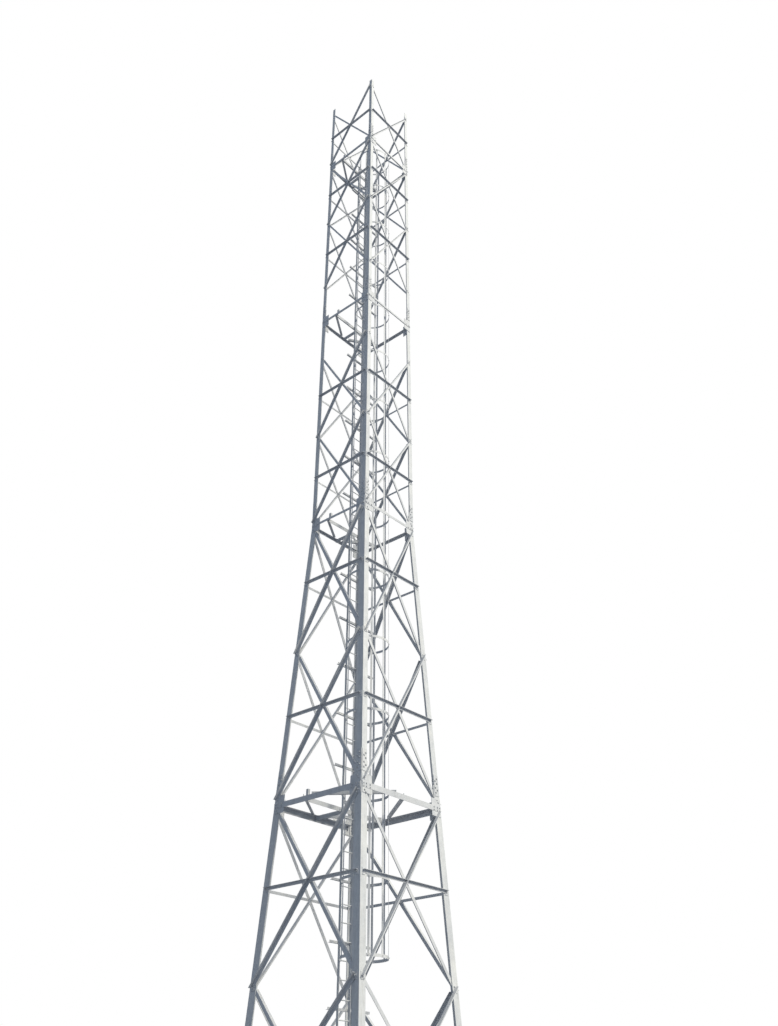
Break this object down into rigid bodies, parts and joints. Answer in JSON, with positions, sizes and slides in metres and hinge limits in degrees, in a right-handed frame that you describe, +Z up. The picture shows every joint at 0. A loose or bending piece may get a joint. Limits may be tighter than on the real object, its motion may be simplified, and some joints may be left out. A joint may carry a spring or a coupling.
{
  "type": "lattice tower",
  "caption": "Square lattice tower of bolted galvanised angle bars on base plates, leaning legs below a bend and upright legs above, with a caged ladder inside.",
  "frame": {"origin": "middle of the underside of the near foot's base plate; the tower's axis is at x = 1.3 m, y = 1.3 m", "axes": "+Z up; +X to the right of the climber on the ladder; +Y away from the climber, from the cage to the ladder"},
  "size_m": [3, 3, 26.68],
  "materials": {
    "foot_steel": "matt galvanised",
    "leg_steel": "matt galvanised",
    "joint_steel": "matt galvanised",
    "bracing_steel": "matt galvanised",
    "plan_steel": "matt galvanised",
    "ladder_steel": "matt galvanised",
    "cage_steel": "matt galvanised"
  },
  "bodies": {
    "root": {"base_plates": "foot_steel", "legs_base": "leg_steel", "legs_lower": "leg_steel", "legs_middle": "leg_steel", "legs_upper": "leg_steel", "legs_crown": "leg_steel", "joint_1": "joint_steel", "joint_2": "joint_steel", "joint_3": "joint_steel", "joint_4": "joint_steel", "base_front": "bracing_steel", "base_right": "bracing_steel", "base_back": "bracing_steel", "base_left": "bracing_steel", "lower_front": "bracing_steel", "lower_right": "bracing_steel", "lower_back": "bracing_steel", "lower_left": "bracing_steel", "middle_front": "bracing_steel", "middle_right": "bracing_steel", "middle_back": "bracing_steel", "middle_left": "bracing_steel", "upper_front": "bracing_steel", "upper_right": "bracing_steel", "upper_back": "bracing_steel", "upper_left": "bracing_steel", "crown_front": "bracing_steel", "crown_right": "bracing_steel", "crown_back": "bracing_steel", "crown_left": "bracing_steel", "plan_1": "plan_steel", "plan_2": "plan_steel", "plan_3": "plan_steel", "plan_4": "plan_steel", "ladder": "ladder_steel", "cable_bars": "plan_steel", "cage_hoops": "cage_steel", "cage_straps": "cage_steel"}
  },
  "joints": []
}
